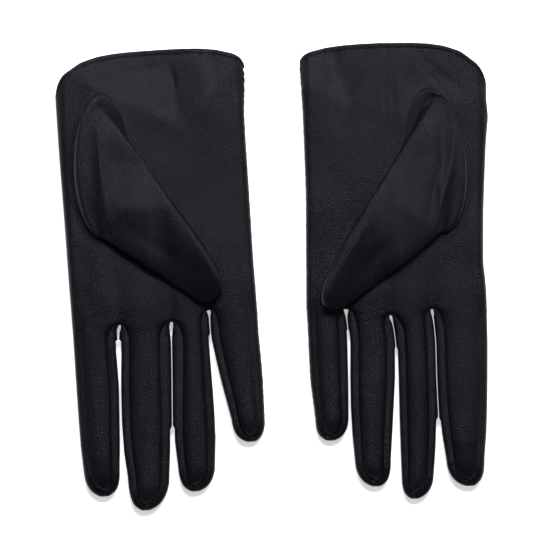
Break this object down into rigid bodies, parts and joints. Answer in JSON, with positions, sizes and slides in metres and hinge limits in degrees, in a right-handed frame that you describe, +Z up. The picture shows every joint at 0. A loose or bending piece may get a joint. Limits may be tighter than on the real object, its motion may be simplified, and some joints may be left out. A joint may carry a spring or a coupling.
{
  "type": "opera gloves",
  "caption": "Pair of short dark satin-knit dress gloves laid flat, palms up, thumbs folded over, with hemmed cuffs, fourchettes and touch fingertips.",
  "frame": {"origin": "centre of the pair's bounding box, at the level that the gloves lie on", "axes": "X across the pair, from the right-hand glove at -X to the left-hand glove at +X; Y from the fingertips to the cuffs; Z up out of the palms"},
  "size_m": [0.2112, 0.2284, 0.0174],
  "materials": {
    "palm_knit": "satin",
    "back_knit": "satin",
    "fourchette": "satin",
    "hem": "satin",
    "seam_allowance": "matte",
    "touch_fabric": "smooth"
  },
  "bodies": {
    "right_hand": {"right_palm_panel": "palm_knit", "right_back_panel": "back_knit", "right_thumb_side_fold": "palm_knit", "right_outer_side_fold": "palm_knit", "right_cuff_hem": "hem", "right_thumb_seam": "seam_allowance"},
    "right_thumb_stall": {"right_thumb": "palm_knit"},
    "right_index_lower": {"right_index_base": "palm_knit", "right_index_base_fourchette": "fourchette"},
    "right_index_upper": {"right_index_tip": "palm_knit", "right_index_tip_fourchette": "fourchette", "right_touch_patch": "touch_fabric"},
    "right_middle_lower": {"right_middle_base_palm": "palm_knit", "right_middle_base_back": "back_knit", "right_middle_base_fourchette_a": "fourchette", "right_middle_base_fourchette_b": "fourchette"},
    "right_middle_upper": {"right_middle_tip_palm": "palm_knit", "right_middle_tip_back": "back_knit", "right_middle_tip_fourchettes": "fourchette"},
    "right_ring_lower": {"right_ring_base_palm": "palm_knit", "right_ring_base_back": "back_knit", "right_ring_base_fourchette_a": "fourchette", "right_ring_base_fourchette_b": "fourchette"},
    "right_ring_upper": {"right_ring_tip_palm": "palm_knit", "right_ring_tip_back": "back_knit", "right_ring_tip_fourchettes": "fourchette"},
    "right_little_lower": {"right_little_base": "palm_knit", "right_little_base_fourchette": "fourchette"},
    "right_little_upper": {"right_little_tip": "palm_knit", "right_little_tip_fourchette": "fourchette"},
    "left_hand": {"left_palm_panel": "palm_knit", "left_back_panel": "back_knit", "left_thumb_side_fold": "palm_knit", "left_outer_side_fold": "palm_knit", "left_cuff_hem": "hem", "left_thumb_seam": "seam_allowance"},
    "left_thumb_stall": {"left_thumb": "palm_knit"},
    "left_index_lower": {"left_index_base": "palm_knit", "left_index_base_fourchette": "fourchette"},
    "left_index_upper": {"left_index_tip": "palm_knit", "left_index_tip_fourchette": "fourchette", "left_touch_patch": "touch_fabric"},
    "left_middle_lower": {"left_middle_base_palm": "palm_knit", "left_middle_base_back": "back_knit", "left_middle_base_fourchette_a": "fourchette", "left_middle_base_fourchette_b": "fourchette"},
    "left_middle_upper": {"left_middle_tip_palm": "palm_knit", "left_middle_tip_back": "back_knit", "left_middle_tip_fourchettes": "fourchette"},
    "left_ring_lower": {"left_ring_base_palm": "palm_knit", "left_ring_base_back": "back_knit", "left_ring_base_fourchette_a": "fourchette", "left_ring_base_fourchette_b": "fourchette"},
    "left_ring_upper": {"left_ring_tip_palm": "palm_knit", "left_ring_tip_back": "back_knit", "left_ring_tip_fourchettes": "fourchette"},
    "left_little_lower": {"left_little_base": "palm_knit", "left_little_base_fourchette": "fourchette"},
    "left_little_upper": {"left_little_tip": "palm_knit", "left_little_tip_fourchette": "fourchette"}
  },
  "joints": [
    {"name": "right_thumb_swing", "type": "hinge", "parent": "right_hand", "child": "right_thumb_stall", "pos_m": [-0.09806, 0.05265, 0.0102], "axis": [0.0698, -0.9976, 0], "range_deg": [0, 120]},
    {"name": "right_index_knuckle", "type": "hinge", "parent": "right_hand", "child": "right_index_lower", "pos_m": [-0.08655, -0.02423, 0.0102], "axis": [-0.9976, -0.0698, 0], "range_deg": [0, 90]},
    {"name": "right_index_middle_joint", "type": "hinge", "parent": "right_index_lower", "child": "right_index_upper", "pos_m": [-0.08483, -0.05417, 0.0088], "axis": [-0.9976, -0.0698, 0], "range_deg": [0, 95]},
    {"name": "right_middle_knuckle", "type": "hinge", "parent": "right_hand", "child": "right_middle_lower", "pos_m": [-0.06217, -0.02253, 0.0102], "axis": [-0.9976, -0.0698, 0], "range_deg": [0, 90]},
    {"name": "right_middle_middle_joint", "type": "hinge", "parent": "right_middle_lower", "child": "right_middle_upper", "pos_m": [-0.06164, -0.05551, 0.0088], "axis": [-0.9976, -0.0698, 0], "range_deg": [0, 95]},
    {"name": "right_ring_knuckle", "type": "hinge", "parent": "right_hand", "child": "right_ring_lower", "pos_m": [-0.03939, -0.02093, 0.0102], "axis": [-0.9976, -0.0698, 0], "range_deg": [0, 90]},
    {"name": "right_ring_middle_joint", "type": "hinge", "parent": "right_ring_lower", "child": "right_ring_upper", "pos_m": [-0.0378, -0.0511, 0.0088], "axis": [-0.9976, -0.0698, 0], "range_deg": [0, 95]},
    {"name": "right_little_knuckle", "type": "hinge", "parent": "right_hand", "child": "right_little_lower", "pos_m": [-0.01838, -0.01947, 0.0102], "axis": [-0.9976, -0.0698, 0], "range_deg": [0, 90]},
    {"name": "right_little_middle_joint", "type": "hinge", "parent": "right_little_lower", "child": "right_little_upper", "pos_m": [-0.01571, -0.04151, 0.0088], "axis": [-0.9976, -0.0698, 0], "range_deg": [0, 95]},
    {"name": "left_glove_lift", "type": "slide", "parent": "right_hand", "child": "left_hand", "axis": [0, 0, 1], "range_m": [0, 0.12]},
    {"name": "left_thumb_swing", "type": "hinge", "parent": "left_hand", "child": "left_thumb_stall", "pos_m": [0.09649, 0.05679, 0.0102], "axis": [-0.014, 0.9999, 0], "range_deg": [0, 120]},
    {"name": "left_index_knuckle", "type": "hinge", "parent": "left_hand", "child": "left_index_lower", "pos_m": [0.0922, -0.01827, 0.0102], "axis": [-0.9999, -0.014, 0], "range_deg": [0, 90]},
    {"name": "left_index_middle_joint", "type": "hinge", "parent": "left_index_lower", "child": "left_index_upper", "pos_m": [0.09326, -0.0485, 0.0088], "axis": [-0.9999, -0.014, 0], "range_deg": [0, 95]},
    {"name": "left_middle_knuckle", "type": "hinge", "parent": "left_hand", "child": "left_middle_lower", "pos_m": [0.06872, -0.0186, 0.0102], "axis": [-0.9999, -0.014, 0], "range_deg": [0, 90]},
    {"name": "left_middle_middle_joint", "type": "hinge", "parent": "left_middle_lower", "child": "left_middle_upper", "pos_m": [0.07121, -0.05093, 0.0088], "axis": [-0.9999, -0.014, 0], "range_deg": [0, 95]},
    {"name": "left_ring_knuckle", "type": "hinge", "parent": "left_hand", "child": "left_ring_lower", "pos_m": [0.04762, -0.01889, 0.0102], "axis": [-0.9999, -0.014, 0], "range_deg": [0, 90]},
    {"name": "left_ring_middle_joint", "type": "hinge", "parent": "left_ring_lower", "child": "left_ring_upper", "pos_m": [0.04945, -0.04897, 0.0088], "axis": [-0.9999, -0.014, 0], "range_deg": [0, 95]},
    {"name": "left_little_knuckle", "type": "hinge", "parent": "left_hand", "child": "left_little_lower", "pos_m": [0.02675, -0.01919, 0.0102], "axis": [-0.9999, -0.014, 0], "range_deg": [0, 90]},
    {"name": "left_little_middle_joint", "type": "hinge", "parent": "left_little_lower", "child": "left_little_upper", "pos_m": [0.02788, -0.0411, 0.0088], "axis": [-0.9999, -0.014, 0], "range_deg": [0, 95]}
  ]
}
